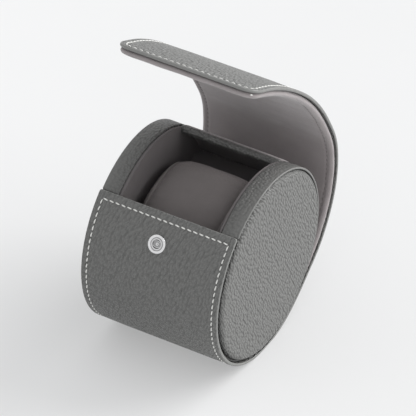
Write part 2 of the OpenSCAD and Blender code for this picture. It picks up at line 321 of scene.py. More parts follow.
class Nodes:
    """Short names for building the node tree of a material or of the world."""

    def __init__(self, owner, kind="Material"):
        self.owner = owner
        owner.use_nodes = True
        self.tree = owner.node_tree
        self.tree.nodes.clear()
        self.out = self.add(f"Output{kind}")

    def feed(self, sockets, *values):
        """Sets inputs in turn, each from a number, a colour or another node's output."""
        for sock, value in zip(sockets, values):
            if isinstance(value, (int, float, tuple)):
                sock.default_value = value
            else:
                self.tree.links.new(value, sock)

    def add(self, kind, props=None, **inputs):
        """A node with some of its properties and inputs set."""
        node = self.tree.nodes.new(f"ShaderNode{kind}")
        for key, value in (props or {}).items():
            setattr(node, key, value)
        self.feed([node.inputs[key.replace("_", " ")] for key in inputs], *inputs.values())
        return node

    def read(self, name, out="Fac"):
        """An attribute of the mesh."""
        return self.add("Attribute", {"attribute_name": name}).outputs[out]

    def coords(self, own):
        """Place on the surface in mm: the piece's own attribute, or its rest position."""
        if own:
            return self.read(own, "Vector")
        return self.stretch(self.add("TexCoord").outputs["Object"], (1000, 1000, 1000))

    def stretch(self, vec, scale):
        return self.add("Mapping", Vector=vec, Scale=scale).outputs["Vector"]

    def noise(self, vec, scale, detail=2.0, rough=0.5, out="Fac"):
        return self.add("TexNoise", Vector=vec, Scale=scale, Detail=detail, Roughness=rough).outputs[out]

    def maths(self, op, a, b):
        node = self.add("Math", {"operation": op})
        self.feed(node.inputs, a, b)
        return node.outputs[0]

    def ramp(self, fac, stops):
        """Colours along a factor; each stop is a position with a colour or a grey."""
        node = self.add("ValToRGB", Fac=fac)
        els = node.color_ramp.elements
        while len(els) < len(stops):
            els.new(0.5)
        for e, (pos, col) in zip(els, stops):
            e.position = pos
            e.color = col if hasattr(col, "__len__") else (col, col, col, 1)
        return node.outputs["Color"]

    def mix(self, fac, a, b):
        node = self.add("Mix", {"data_type": "RGBA"})
        self.feed([sock for sock in node.inputs if sock.enabled], fac, a, b)
        return [sock for sock in node.outputs if sock.enabled][0]

    def bump(self, height, strength, distance):
        return self.add("Bump", Height=height, Strength=strength, Distance=distance).outputs["Normal"]

    def surface(self, **values):
        """Sends a shader with these values to the output, and gives the finished material."""
        self.feed(self.out.inputs, self.add("BsdfPrincipled", **values).outputs["BSDF"])
        return self.owner

    def seen(self):
        """1 where a camera, glossy or transmission ray looks, 0 for the rays that carry light."""
        path = self.add("LightPath")
        shown = self.maths("MAXIMUM", path.outputs["Is Camera Ray"], path.outputs["Is Glossy Ray"])
        return self.maths("MAXIMUM", shown, path.outputs["Is Transmission Ray"])

    def between(self, fac, a, b):
        """Sends a mix of two shaders to the output."""
        blend = self.add("MixShader")
        self.feed(blend.inputs, fac, a, b)
        self.feed(self.out.inputs, blend.outputs[0])


def leather(name, colour, grain, depth, rim=1.2, lie=0.0, pull=1.0):
    """Pebble-grain leather, its pebbles longer by the factor pull along the angle lie.

    The attribute "edge" is 1 on the smooth rim, whose colour is made brighter by the factor rim as a painted
    highlight, and "crease" is 1 where painted shade darkens a deep groove or a fold.
    """
    n = Nodes(bpy.data.materials.new(name))
    flat = n.coords("grain")
    warp = n.add("VectorMath", {"operation": "MULTIPLY_ADD"})
    n.feed(warp.inputs, n.noise(flat, 0.14, 3.0, 0.55, out="Color"), (1.3, 1.3, 1.3), flat)
    laid = n.add(
        "Mapping", {"vector_type": "TEXTURE"},
        Vector=warp.outputs[0], Rotation=(0, 0, math.radians(lie)), Scale=(pull, 1, 1)).outputs["Vector"]
    far = n.add(
        "TexVoronoi", {"feature": "SMOOTH_F1", "voronoi_dimensions": "2D"},
        Vector=laid, Scale=1 / grain, Smoothness=0.45, Randomness=0.75).outputs["Distance"]
    height = n.maths("MULTIPLY", n.maths("POWER", far, 1.6), -1.0)
    height = n.maths("ADD", height, n.maths("MULTIPLY", n.noise(laid, 0.3), 0.04))
    # Painted highlight and shade: pebble tops are made lighter and the valleys between them darker.
    tone = n.ramp(far, tones(colour, (0.05, 1.14), (0.3, 1.0), (0.6, 0.92)))
    tone = n.mix(0.08, tone, n.ramp(n.noise(flat, 0.08), tones(colour, (0.3, 0.9), (0.7, 1.1))))
    rough = n.ramp(far, [(0.1, 0.36), (0.8, 0.62)])
    edge = n.read("edge")
    # Painted highlight: the rim's colour is made brighter by the factor rim.
    tone = n.mix(edge, tone, scaled(colour, rim))
    height = n.maths("MULTIPLY", height, n.maths("SUBTRACT", 1.0, n.maths("MULTIPLY", edge, 0.92)))
    # Painted shade: the colour darkens to 0.12 where "crease" marks a groove or a fold.
    tone = n.mix(n.read("crease"), tone, scaled(colour, 0.12))
    normal = n.bump(height, 1.0, depth * MM)
    return n.surface(Base_Color=tone, Roughness=rough, Normal=normal, Specular_IOR_Level=0.7)


def suede(name, colour, own=None, nap=0.12, sheen=0.25, wrinkle=0.0):
    """Microsuede: matt, faintly mottled where the nap lies differently."""
    n = Nodes(bpy.data.materials.new(name))
    vec = n.coords(own)
    fibres = n.noise(n.stretch(vec, (1, 1.8, 1)), 3.2, 3.0, 0.65)
    tone = n.ramp(n.noise(vec, 0.07, 3.0, 0.55), tones(colour, (0.3, 0.9), (0.7, 1.1)))
    tone = n.mix(0.35, tone, n.ramp(fibres, tones(colour, (0.35, 0.82), (0.65, 1.2))))
    height = fibres
    if wrinkle:
        folds = n.noise(n.stretch(vec, (0.05, 0.3, 1)), 1.0)
        height = n.maths("ADD", n.maths("MULTIPLY", folds, wrinkle), fibres)
    return n.surface(
        Base_Color=tone, Roughness=n.ramp(fibres, [(0.3, 0.86), (0.7, 0.97)]),
        Normal=n.bump(height, 0.8, nap * MM), Specular_IOR_Level=0.2,
        Sheen_Weight=sheen, Sheen_Roughness=0.45, Sheen_Tint=scaled(colour, 4.0))


def thread(name, colour):
    """Waxed thread, its tone and sheen varied by the twist."""
    n = Nodes(bpy.data.materials.new(name))
    twist = n.noise(n.stretch(n.coords("grain"), (2.5, 6.0, 2.5)), 1.0)
    tone = n.ramp(twist, tones(colour, (0.3, 0.82), (0.65, 1.0)))
    rough = n.ramp(twist, [(0, 0.6), (1, 0.75)])
    return n.surface(Base_Color=tone, Roughness=rough, Normal=n.bump(twist, 0.6, 0.08 * MM))


def metal(name, colour):
    """Nickel, its colour darkened by painted shade where the profile runs low, as an attribute of the mesh
    says.
    """
    n = Nodes(bpy.data.materials.new(name))
    fine = n.noise(n.coords(None), 1.6, 3.0, 0.6)
    tone = n.ramp(fine, tones(colour, (0.3, 0.9), (0.7, 1.0)))
    # Painted shade: the colour darkens to 0.3 in the hollows.
    tone = n.mix(n.read("recess_shade"), tone, scaled(colour, 0.3))
    rough = n.ramp(fine, [(0.3, 0.16), (0.7, 0.26)])
    return n.surface(Base_Color=tone, Metallic=1.0, Roughness=rough, Normal=n.bump(fine, 0.6, 0.06 * MM))


GREY = srgb(104, 104, 102)
M_WRAP = leather("leather_wrap", GREY, grain=1.3, depth=1.15, rim=1.5, lie=105, pull=1.6)
M_END = leather("leather_end", GREY, grain=1.45, depth=1.1, lie=120, pull=1.8)
# Painted shade: the puck rims and the rear lip take the same grey leather darkened to 0.7.
M_BAND_SHADED = leather("leather_band", scaled(GREY, 0.7), grain=1.5, depth=0.7, rim=1.7)
M_LINING = suede("flap_lining", srgb(155, 148, 148), own="grain", sheen=0.45, wrinkle=2.0)
M_BAY = suede("bay_fabric", srgb(108, 104, 104), sheen=0.2)
M_BACK = suede("back_fabric", srgb(146, 140, 140))
M_PILLOW = suede("pillow_fabric", srgb(116, 111, 110), nap=0.3, sheen=0.35)
M_THREAD = thread("thread", srgb(236, 235, 231))
M_SEAM = thread("lining_thread", srgb(132, 126, 126))
M_SNAP = metal("snap_metal", (0.82, 0.82, 0.83, 1.0))


# ---------------------------------------------------------------- the long leather and its lining
def plan_distance(x, s, half, s0, s1, r0, r1):
    """Distance inside the edge of a rounded rectangle, in mm."""
    dx = half - np.abs(x)
    out = None
    for ds, r in ((s - s0, r0), (s1 - s, r1)):
        corner = r - np.hypot(np.maximum(r - dx, 0), np.maximum(r - ds, 0))
        d = np.where((dx < r) & (ds < r), corner, np.minimum(dx, ds))
        out = d if out is None else np.minimum(out, d)
    return np.maximum(out, 0)


def half_at(s, half, s0, s1, r0, r1):
    """Half the width of that rectangle at an arc length."""
    out = np.full_like(s, half)
    for ds, r in ((s - s0, r0), (s1 - s, r1)):
        near = ds < r
        out = np.where(near, half - r + np.sqrt(np.maximum(r * r - (r - np.minimum(ds, r)) ** 2, 0)), out)
    return out


EDGE_D = [0, 0.03, 0.1, 0.22, 0.4, 0.6, 0.9, 1.3, 1.8, 2.2, 2.5, 2.8, 3.1, 3.4, 3.7, 4.1, 4.7, 5.7, 7.5]


def edge_rows(s0, s1, cuts, step=0.9):
    """Row positions: close together at both ends, and one on each cut."""
    ends = EDGE_D + [8.5]
    start = [s0 + d for d in ends if s0 == 0.0] or [s0]
    stop = [s1 - d for d in ends]
    body = []
    marks = [max(start)] + [c for c in cuts if max(start) < c < min(stop)] + [min(stop)]
    for a, b in zip(marks, marks[1:]):
        body += list(np.linspace(a, b, max(2, int(round((b - a) / step)) + 1)))
    return np.unique(np.round(np.array(start + body + stop), 4))


class Strip:
    """A padded or plain sheet on the path: an outer and an inner face that meet round its edge."""

    def __init__(self, plan, layers, inner=12):
        half, s0, s1, _, _ = plan
        self.half, self.s0, self.s1 = half, s0, s1
        rows = edge_rows(s0, s1, [p.stop for p in PARTS[:-1]])
        w = half_at(rows, *plan)[:, None]
        d = np.array(EDGE_D)[None, :]
        mid = np.linspace(-1, 1, inner + 2)[1:-1][None, :] * (w - EDGE_D[-1])
        x = np.concatenate([-(w - d), mid, (w - d)[:, ::-1]], 1)
        s = np.repeat(rows[:, None], x.shape[1], 1)
        dist = plan_distance(x, s, *plan)
        far, near = layers(x, s, dist)
        nr, nc = x.shape
        rim = np.zeros((nr, nc), bool)
        rim[:, [0, -1]] = True
        rim[[0, -1], :] = True
        ids_out = np.arange(nr * nc).reshape(nr, nc)
        ids_in = ids_out.copy()
        ids_in[~rim] = nr * nc + np.arange((~rim).sum())
        pick = lambda v: np.concatenate([v.ravel(), v[~rim]])
        self.xs, self.ss = pick(x), pick(s)
        far_n = np.concatenate([far.ravel(), near[~rim]])
        self.verts = place(self.ss, self.xs, far_n)
        self.grain = np.stack([self.xs, self.ss, far_n], 1)
        # On leather, leather() paints this rim brighter as a highlight.
        self.edge = np.clip(1 - (pick(dist) - 0.3) / 0.3, 0, 1)
        a = np.stack([ids_out[:-1, :-1], ids_out[1:, :-1], ids_out[1:, 1:], ids_out[:-1, 1:]], -1)
        b = np.stack([ids_in[:-1, :-1], ids_in[:-1, 1:], ids_in[1:, 1:], ids_in[1:, :-1]], -1)
        self.faces = np.concatenate([a.reshape(-1, 4), b.reshape(-1, 4)])
        self.inside = np.r_[np.zeros(a.size // 4, bool), np.ones(b.size // 4, bool)]
        self.row = np.tile(np.repeat(np.arange(nr - 1), nc - 1), 2)
        self.rows = rows
        v = self.verts
        n = np.cross(v[self.faces[:, 2]] - v[self.faces[:, 0]], v[self.faces[:, 3]] - v[self.faces[:, 1]])
        self.normals = np.zeros_like(v)
        for c in range(4):
            np.add.at(self.normals, self.faces[:, c], n)
        self.normals /= np.maximum(np.linalg.norm(self.normals, axis=1), 1e-20)[:, None]

    def cut(self, name, a, b, mat):
        """The piece between arc lengths a and b."""
        mid = (self.rows[self.row] + self.rows[self.row + 1]) / 2
        keep = (mid > a) & (mid < b)
        faces, inside = self.faces[keep], self.inside[keep]
        used, local = np.unique(faces, return_inverse=True)
        local = local.reshape(-1, 4)
        me = bpy.data.meshes.new(name)
        me.from_pydata([tuple(v) for v in self.verts[used]], [], [tuple(f) for f in local])
        me.shade_smooth()
        uv = me.uv_layers.new(name="OFBake")
        lo, hi = max(a, self.s0), min(b, self.s1)
        u = 0.01 + 0.98 * (self.ss[faces] - lo) / (hi - lo)
        across = (self.xs[faces] + self.half) / (2 * self.half)
        v = np.where(inside[:, None], 0.67 + 0.32 * across, 0.01 + 0.62 * across)
        uv.data.foreach_set("uv", np.stack([u, v], -1).astype(np.float32).ravel())
        attribute(me, "grain", self.grain[used])
        attribute(me, "edge", self.edge[used])
        me.normals_split_custom_set_from_vertices([tuple(n) for n in self.normals[used]])
        me.materials.append(mat)
        return link(name, me)


STITCH_IN, TOP_IN = 3.1, 4.0


def stitch_distance(x, s):
    """Distance inside the leather's edge, for a sewing line that is further in at the panel's top."""
    return plan_distance(x, s, DRUM_W / 2, TOP_IN - STITCH_IN, LENGTH, 0.01, TIP_CORNER_R)


def round_edge(d, r):
    """0 on the edge, 1 from the distance r inwards, round between."""
    return np.sqrt(np.clip(1 - (1 - np.clip(d / r, 0, 1)) ** 2, 0, 1))


def leather_layers(x, s, d):
    """Outer and inner depth of the leather: a groove under the stitches, and a crown but for the snap."""
    half = LEATHER_T / 2
    e = round_edge(d, 0.45)
    groove = 0.3 * bell(stitch_distance(x, s) - STITCH_IN, 0.6)
    crown = 0.2 * np.clip((d - STITCH_IN) / 12, 0, 1)
    crown = crown + 0.12 * wobble(x, s, 26.0, 3.0) * np.clip(d / 4, 0, 1)
    crown *= 1 - bell(np.hypot(x, s - SNAP_S), SNAP_PINCH, 4)
    bulge = 0.1 * bell(d - 1.5, 1.0)
    return -half - half * e + groove * e - (crown + bulge) * e, -half + half * e * 0.98


LINING_S0 = HINGE_S[0] + 0.2 * (HINGE_S[1] - HINGE_S[0])
LINING_S1 = LENGTH - LINING_INSET
LINING_HALF = DRUM_W / 2 - LINING_INSET
ROLL_IN = 3.3


def lining_thick(s):
    """Thickness of the padding, which runs out at the root and thins a little at the tip."""
    rise = np.clip((s - LINING_S0) / (0.55 * (HINGE_S[1] - HINGE_S[0])), 0, 1)
    fall = np.clip((s - HINGE_S[LAST]) / (LENGTH - HINGE_S[LAST]), 0, 1)
    return 0.5 + 3.2 * rise * rise * (3 - 2 * rise) - 0.5 * fall ** 3


def lining_layers(x, s, d):
    """Depths of the lining's back and of its padded face, which sinks along its seam."""
    t = lining_thick(s) * (1 + 0.07 * wobble(x, s, 9.0, 9.0))
    e = round_edge(d, 2.7)
    seam = 0.14 * bell(d - ROLL_IN, 1.0)
    inside = 0.12 * np.clip((d - ROLL_IN) / 3, 0, 1)
    puff = 0.05 * wobble(x, s, 7.0, 5.0)
    depth = t * (1 - seam - inside + puff * np.clip(d / 3, 0, 1))
    mid = 0.1 + t * 0.47
    return mid - (mid - 0.04) * e, mid + (depth - mid) * e


# Outlines in the (x, s) plan: half the width, both ends, and the corner radius at each end
LEATHER_PLAN = (DRUM_W / 2, 0.0, LENGTH, 1.2, TIP_CORNER_R)
LINING_PLAN = (LINING_HALF, LINING_S0, LINING_S1, 0.5, TIP_CORNER_R - LINING_INSET)
leather_strip = Strip(LEATHER_PLAN, leather_layers)
lining_strip = Strip(LINING_PLAN, lining_layers)

SEGMENTS = {"root": [1], "back": [2, 3, 4], "shoulder": [5], "upper": [6], "front": [7], "tip": [8]}
for part in PARTS:
    on_drum = part.tag == "wrap"
    name = "wrap_leather" if on_drum else f"flap_{part.tag}_leather"
    ob = leather_strip.cut(name, part.start, part.stop, M_WRAP)
    carry(ob, part)
    if on_drum:
        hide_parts("outer_wrap")
        continue
    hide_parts(*[f"flap_leather_{k}" for k in SEGMENTS[part.tag]])
    pad = lining_strip.cut(f"flap_{part.tag}_lining", part.start, part.stop, M_LINING)
    carry(pad, part)
    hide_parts(*[f"flap_lining_{k}" for k in SEGMENTS[part.tag]])


# ---------------------------------------------------------------- stitches
STITCH_ROWS, STITCH_RING = 9, 8


def seam_line(inset, corner, s_from, s_to, half, top=None):
    """Straight and curved runs of a sewing line in the (x, s) plan; each is a list of points."""
    x, r, end = half - inset, max(corner - inset, 0.1), s_to - inset
    runs = []
    for side in (-1, 1):
        run = [(side * x, s_from), (side * x, end - r)]
        for t in np.linspace(0, math.pi / 2, 9)[1:]:
            run.append((side * (x - r + r * math.cos(t)), end - r + r * math.sin(t)))
        runs.append(run)
    runs.append([(-(x - r), end), (x - r, end)])
    if top is not None:
        runs.append([(-x, top), (x, top)])
    return runs


def stitches(runs, depth_at, pitch, length, width, rise, tilt=7.0):
    """Thread stitches along the runs, as (arc length, points, plan) each."""
    out = []
    u = -np.cos(np.linspace(0, math.pi, STITCH_ROWS))
    v = np.linspace(0, TURN, STITCH_RING, endpoint=False)
    taper = np.sqrt(np.clip(1 - u ** 2 * 0.96, 0.02, 1)) ** 0.55
    for run in runs:
        run = np.array(run, float)
        s = np.r_[0, np.cumsum(np.linalg.norm(np.diff(run, axis=0), axis=1))]
        count = max(1, int(round(s[-1] / pitch)))
        for i in range(count):
            c = (i + 0.5) * s[-1] / count
            before, p, after = (
                np.array([np.interp(t, s, run[:, 0]), np.interp(t, s, run[:, 1])])
                for t in (max(c - 0.3, 0), c, min(c + 0.3, s[-1])))
            d = (after - before) / np.linalg.norm(after - before)
            d = turned(d, math.radians(tilt + random.uniform(-2, 2)))
            across = np.array([-d[1], d[0]])
            ln = length * (1 + random.uniform(-0.05, 0.05))
            aside = np.cos(v)[None, :, None] * (taper * width / 2)[:, None, None] * across
            plan = p + (u[:, None, None] * d * ln / 2) + aside
            lift = np.sin(v)[None, :] * (taper * width * 0.42)[:, None]
            lift = lift + rise - 0.34 * np.abs(u[:, None]) ** 3
            n = depth_at(plan[..., 0], plan[..., 1]) + np.sign(depth_at.side) * lift
            laid = np.stack([plan[..., 0], plan[..., 1], lift], -1)
            out.append((p[1], place(plan[..., 1], plan[..., 0], n), laid))
    return out


class Face:
    """Depth of one face of a sheet at a plan point; side is -1 on the leather and 1 on the lining."""

    def __init__(self, side, layers, plan):
        self.side, self.layers, self.plan = side, layers, plan

    def __call__(self, x, s):
        far, near = self.layers(x, s, plan_distance(x, s, *self.plan))
        return far if self.side < 0 else near


def sew(prefix, made, mat, parts):
    """One piece of thread for each part of the leather, from the stitches that lie on it."""
    size = STITCH_ROWS * STITCH_RING
    one = capped(STITCH_ROWS, STITCH_RING)
    for part in parts:
        stop = math.inf if part.stop == LENGTH else part.stop
        mine = [m for m in made if part.start <= m[0] < stop]
        if not mine:
            continue
        verts, grain = (np.concatenate([m[k].reshape(-1, 3) for m in mine]) for k in (1, 2))
        faces = [tuple(int(i) + k * size for i in q) for k in range(len(mine)) for q in one]
        ob = make(f"{prefix}_{part.tag}", verts, faces, mat, merge=False)
        attribute(ob.data, "grain", grain)
        carry(ob, part)


outer_face = Face(-1, leather_layers, LEATHER_PLAN)
runs = seam_line(STITCH_IN, TIP_CORNER_R, TOP_IN, LENGTH, DRUM_W / 2, TOP_IN)
made = stitches(runs, outer_face, pitch=3.3, length=2.5, width=0.72, rise=0.16)
sew("stitches", made, M_THREAD, PARTS)

inner_face = Face(1, lining_layers, LINING_PLAN)
runs = seam_line(ROLL_IN, TIP_CORNER_R - LINING_INSET, LINING_S0 + 6, LINING_S1, LINING_HALF)
made = stitches(runs, inner_face, pitch=3.0, length=2.2, width=0.5, rise=0.05)
sew("lining_stitches", made, M_SEAM, PARTS[1:])


def knot(name, x, s, n):
    """Thread ends melted to a small bead where the seam was finished."""
    rows, ring = 9, 14
    t, a = np.meshgrid(
        np.linspace(0.05, math.pi - 0.05, rows), np.linspace(0, TURN, ring, endpoint=False), indexing="ij")
    r = 0.55 * np.sin(t) * (1 + 0.15 * np.sin(3 * a))
    xs, ss, ns = (v.ravel() for v in (x + r * np.cos(a), s + r * np.sin(a), n + 0.4 * np.cos(t)))
    ob = make(name, place(ss, xs, ns), capped(rows, ring), M_THREAD, merge=False)
    attribute(ob.data, "grain", np.stack([xs, ss, ns], 1))
    carry(ob, PARTS[-1])


knot("seam_knot", 35.75, LENGTH - 2.25, 0.9)


# ---------------------------------------------------------------- the drum
PANEL_EDGE_R, PANEL_ROLL, PANEL_OUT = 49.0, 3.0, 39.0
PLEATS, PLEAT_R, GATHER_R = 134, 48.0, 48.2
BAY_HALF, BED_HALF, COVER_HALF = 27.44, 27.4, 27.46
PANEL_TURNS, BAND_TURNS, WALL_TURNS = 900, 480, 256


def covered(deg):
    """1 where the wrap lies over the rim of a puck, 0 where the drum is open."""
    return np.clip((deg - FRONT_A + 1.0) / 2.5, 0, 1) * np.clip((WRAP_END_A + 5 - deg) / 6.0, 0, 1)


def facing(a, middle, width):
    """1 at the middle angle (degrees) round the drum, falling away over the width (radians)."""
    return bell((a % TURN) - math.radians(middle), width)


def end_panel(side, tag):
    """Padded disc with a rolled shoulder; the leather gathers a little where it turns over the edge."""
    flat_r = PANEL_EDGE_R - PANEL_ROLL
    shoulder = [
        (PANEL_OUT - PANEL_ROLL * (1 - math.sin(u)), flat_r + PANEL_ROLL * math.cos(u))
        for u in np.linspace(0, math.pi / 2, 16)]
    r = np.r_[np.linspace(flat_r, 40, 14)[1:], np.linspace(38, 0, 16)]
    face = [(PANEL_OUT + 0.35 * (1 - (v / flat_r) ** 2), v) for v in r]
    line = [(35.3, 0.0), (35.3, PANEL_EDGE_R - 0.1), *shoulder, *face]
    rng = random.Random(SEED + side)
    pleats = np.cumsum([rng.uniform(1.5, 3.1) for _ in range(PLEATS)])
    pleats = pleats / pleats[-1] * TURN

    def pleat(a):
        """1 in the middle of a fold of the gathered edge, 0 between folds."""
        near = np.searchsorted(pleats, a % TURN) % PLEATS
        return bell(np.minimum(np.abs(a - pleats[near]), np.abs(a - pleats[near - 1])) * PLEAT_R, 0.42)

    def closed(a):
        """1 where the pad presses against the rim and its gathers show, 0 where a groove is left."""
        return facing(a, 100, 0.42)

    def pull(a):
        """How tight the leather is gathered, most a little in front of the disc's top."""
        return 0.12 + 0.88 * facing(a, 112, 0.6)

    def gather(x, r, a):
        near = bell(r - GATHER_R, 1.0) * (x > 35.6)
        low = 0.6 * facing(a, 275, 0.7) * (r > 45.5)
        press = 0.28 * closed(a) * np.clip((r - 46.5) / 2, 0, 1)
        return -0.1 * near * pull(a) * pleat(a), low + press - 0.38 * near * pull(a) * pleat(a)

    ob = make(f"{tag}_end_pad", *revolve(line, PANEL_TURNS, side, gather), M_END)
    at = points(ob) / MM
    deg = np.degrees(np.arctan2(at[:, 2] - AXIS_H, at[:, 1])) % 360
    a = np.radians(deg)
    reach = np.hypot(at[:, 1], at[:, 2] - AXIS_H)
    unrolled = reach + np.maximum(PANEL_OUT - np.abs(at[:, 0]), 0)
    attribute(ob.data, "grain", np.stack([unrolled * np.cos(a), unrolled * np.sin(a), at[:, 0]], 1))
    # Painted shade for the groove round the shoulder, lighter where the pad presses on the rim and darker
    # under the wrap, and in the gathered folds.
    low = np.clip((38.15 - np.abs(at[:, 0])) / 0.8, 0, 1) * (reach > 45)
    fold = 0.3 * pleat(a) * pull(a) * np.clip((reach - 46.8) / 0.8, 0, 1)
    deep = low * (0.55 * (1 - 0.75 * closed(a)) + 0.4 * covered(deg))
    attribute(ob.data, "crease", np.clip(np.maximum(deep, fold), 0, 1))
    dress(ob, "case", "leather_end", f"{tag}_end_panel", fill=0.8)


def band(side, tag):
    """Leather rim of a puck, rolled over both edges; under the wrap its outer edge stays back."""
    line = rounded(
        [(30.2, 50.42), (37.75, 50.42), (37.75, 49.3), (36.6, 49.3), (36.2, 49.0), (35.4, 49.0),
         (35.4, 48.5), (29.4, 48.5), (28.5, 48.5), (28.5, 50.42)],
        [0, 0.75, 0.45, 0, 0, 0, 0, 0, 0.2, 1.0], steps=6)

    def tuck(x, r, a):
        under = covered(np.degrees(a) % 360)
        return -1.5 * under * np.clip((x - 35.5) / 1.5, 0, 1), -0.25 * under * (r > 50.2) * (x > 33)

    ob = make(f"{tag}_rim_leather", *revolve(line, BAND_TURNS, side, tuck), M_BAND_SHADED)
    at = points(ob) / MM
    # Painted highlight: the lip past x = 37 mm is made lighter in colour.
    attribute(ob.data, "edge", np.clip((np.abs(at[:, 0]) - 37.0) / 0.4, 0, 1))
    around = (np.arctan2(at[:, 2] - AXIS_H, at[:, 1]) + math.pi / 2) % TURN
    attribute(ob.data, "grain", np.stack([at[:, 0], around * BAND_R, 0 * around], 1))
    dress(ob, "case", "leather_band", f"{tag}_band")


def bay_wall(side, tag):
    """Fabric disc on the bay's side of a puck, softly rolled towards the rim."""
    roll = rounded(
        [(29.3, 48.4), (28.5, 48.4), (28.25, 49.75), (26.85, 49.75), (26.85, 44.0), (27.0, 40.0)],
        [0, 0.2, 0.55, 1.3, 1.0, 0], steps=8)
    face = [(27.0 + 0.1 * (1 - (v / 47) ** 2), v) for v in np.linspace(38, 0, 12)]
    ob = make(f"{tag}_bay_side", *revolve([(29.3, 0.0), *roll, *face], WALL_TURNS, side), M_BAY)
    dress(ob, "case", "bay_fabric", f"{tag}_bay_wall")


for side, tag in ((-1, "left"), (1, "right")):
    end_panel(side, tag)
    band(side, tag)
    bay_wall(side, tag)


def loft(name, rings, mat):
    """Skin over rings of (y, z) from the drum's axis, one at each x, with a cap at both ends."""
    verts = [np.stack([np.full(len(p), x), p[:, 0], p[:, 1] + AXIS_H], 1) for x, p in rings]
    return make(name, np.array(verts) * MM, capped(len(rings), len(rings[0][1])), mat)


def slab(name, loop, xs, mat, half, puff=0.0, ease=0.35):
    """Loop of (y, z) from the axis, carried across x, its edges eased at both ends."""
    nxt, prv = np.roll(loop, -1, 0), np.roll(loop, 1, 0)
    d = nxt - prv
    normal = np.stack([d[:, 1], -d[:, 0]], 1) / np.linalg.norm(d, axis=1)[:, None]
    area = 0.5 * np.sum(loop[:, 0] * nxt[:, 1] - nxt[:, 0] * loop[:, 1])
    normal *= np.sign(area)
    rings = []
    for x in xs:
        near = half - abs(x)
        inset = ease * (1 - math.sqrt(max(0.0, 1 - (1 - min(near / 0.6, 1)) ** 2)))
        rings.append((x, loop + normal * (puff * (1 - (abs(x) / half) ** 4) - inset)))
    return loft(name, rings, mat)


def mirrored(*xs, middle=(0,)):
    """Stations across the drum: the given ones from outside in, the middle, and their mirror images."""
    return np.array([-x for x in xs] + list(middle) + list(xs[::-1]))


def arc_shell(name, r_in, r_out, a0, a1, half, mat, end_r, puff=0.0):
    """Curved slab between two angles with rounded ends, across the bay."""
    angles = np.linspace(a0, a1, int((a1 - a0) / 1.2))
    mid, t = (r_in + r_out) / 2, (r_out - r_in) / 2

    def cap(a, sign):
        d, e = polar(1, a), polar(1, a + 90 * sign)
        return [
            mid * d + t * math.cos(u) * d + end_r * math.sin(u) * e
            for u in np.linspace(0, math.pi, 9)[1:-1]]

    outer = [polar(r_out, a) for a in angles]
    inner = [polar(r_in, a) for a in angles[::-1]]
    loop = np.array(outer + cap(a1, 1) + inner + cap(a0, -1)[::-1])
    xs = mirrored(half, half - 0.15, half - 0.6, middle=np.linspace(-half + 3, half - 3, 9))
    return slab(name, loop, xs, mat, half, puff)


trough = arc_shell("bay_trough", BAY_R, 50.36, FRONT_A + 1.2, 360 + REAR_A - 0.5, BAY_HALF, M_BAY, 1.1)
dress(trough, "case", "bay_fabric", "bay_lining", "tube_core", "wrap_board")
cover = arc_shell(
    "back_fabric_cover", 50.0, 50.75, WRAP_END_A - 9, 360 + REAR_A - 1.0, COVER_HALF, M_BACK, 0.4, puff=0.12)
dress(cover, "case", "back_fabric", "back_cover")


def rear_lip():
    """Leather roll along the rear edge of the bay."""
    out, along = polar(1, REAR_A), polar(1, REAR_A + 90)
    centre = polar((BAND_R + BAY_R) / 2, REAR_A) + 0.6 * along
    loop = np.array([
        centre + (2.0 * math.cos(t)) * out + (1.9 * math.sin(t)) * along
        for t in np.linspace(0, TURN, 28, endpoint=False)])
    ob = slab("rear_lip_roll", loop, mirrored(BAY_HALF, 27.2, 26.6, 24, 16, 8), M_BAND_SHADED, BAY_HALF)
    at = points(ob) / MM
    turn = np.arctan2(at[:, 2] - AXIS_H - centre[1], at[:, 1] - centre[0])
    attribute(ob.data, "grain", np.stack([at[:, 0], 2.0 * turn, 0 * turn], 1))
    dress(ob, "case", "leather_band", "rear_lip")


rear_lip()


def superellipse(length, height, count):
    """Points round the pillow's kind of oval."""
    t = np.linspace(0, TURN, count, endpoint=False)
    term = lambda v: np.sign(v) * np.abs(v) ** (2 / PILLOW["power"])
    return np.stack([length / 2 * term(np.cos(t)), height / 2 * term(np.sin(t))], 1)


LEAN = math.radians(PILLOW["a"] - 90)
PILLOW_C = polar(PILLOW["rise"], PILLOW["a"])


def bay_bed():
    """Foam bed hollowed to the pillow, with soft shoulders either side."""
    oval = superellipse(PILLOW["l"] + 0.7, PILLOW["h"] + 0.7, 240) + [0, PILLOW["rise"]]
    cradle = oval[oval[:, 1] < BED_TOP - 0.4]
    cradle = [tuple(p) for p in cradle[np.argsort(cradle[:, 0])]]
    bed_r, low = BAY_R - 0.1, BED_TOP - 0.8
    reach = math.sqrt(bed_r ** 2 - low ** 2)
    left = [(-reach, low), (-reach + 1.2, BED_TOP), (cradle[0][0] - 1.0, BED_TOP)]
    right = [(cradle[-1][0] + 1.0, BED_TOP), (reach - 1.2, BED_TOP), (reach, low)]
    a1 = math.atan2(low, reach)
    under = [(bed_r * math.cos(a), bed_r * math.sin(a)) for a in np.linspace(a1, -math.pi - a1, 90)[1:-1]]
    loop = turned(left + cradle + right + under, LEAN)
    ob = slab("bay_bed_pad", loop, mirrored(BED_HALF, 27.2, 26.8, 20, 10), M_BAY, BED_HALF)
    dress(ob, "case", "bay_fabric", "bay_bed", fill=0.8)


bay_bed()

# CAD nodes that stay in the model
BOARDS = ("left_tube_ring", "right_tube_ring", "left_end_block", "right_end_block")
for name, mat in [(board, M_BAY) for board in BOARDS] + [("socket_rivet", M_SNAP)]:
    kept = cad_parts[name].data.materials
    kept.clear()
    kept.append(mat)


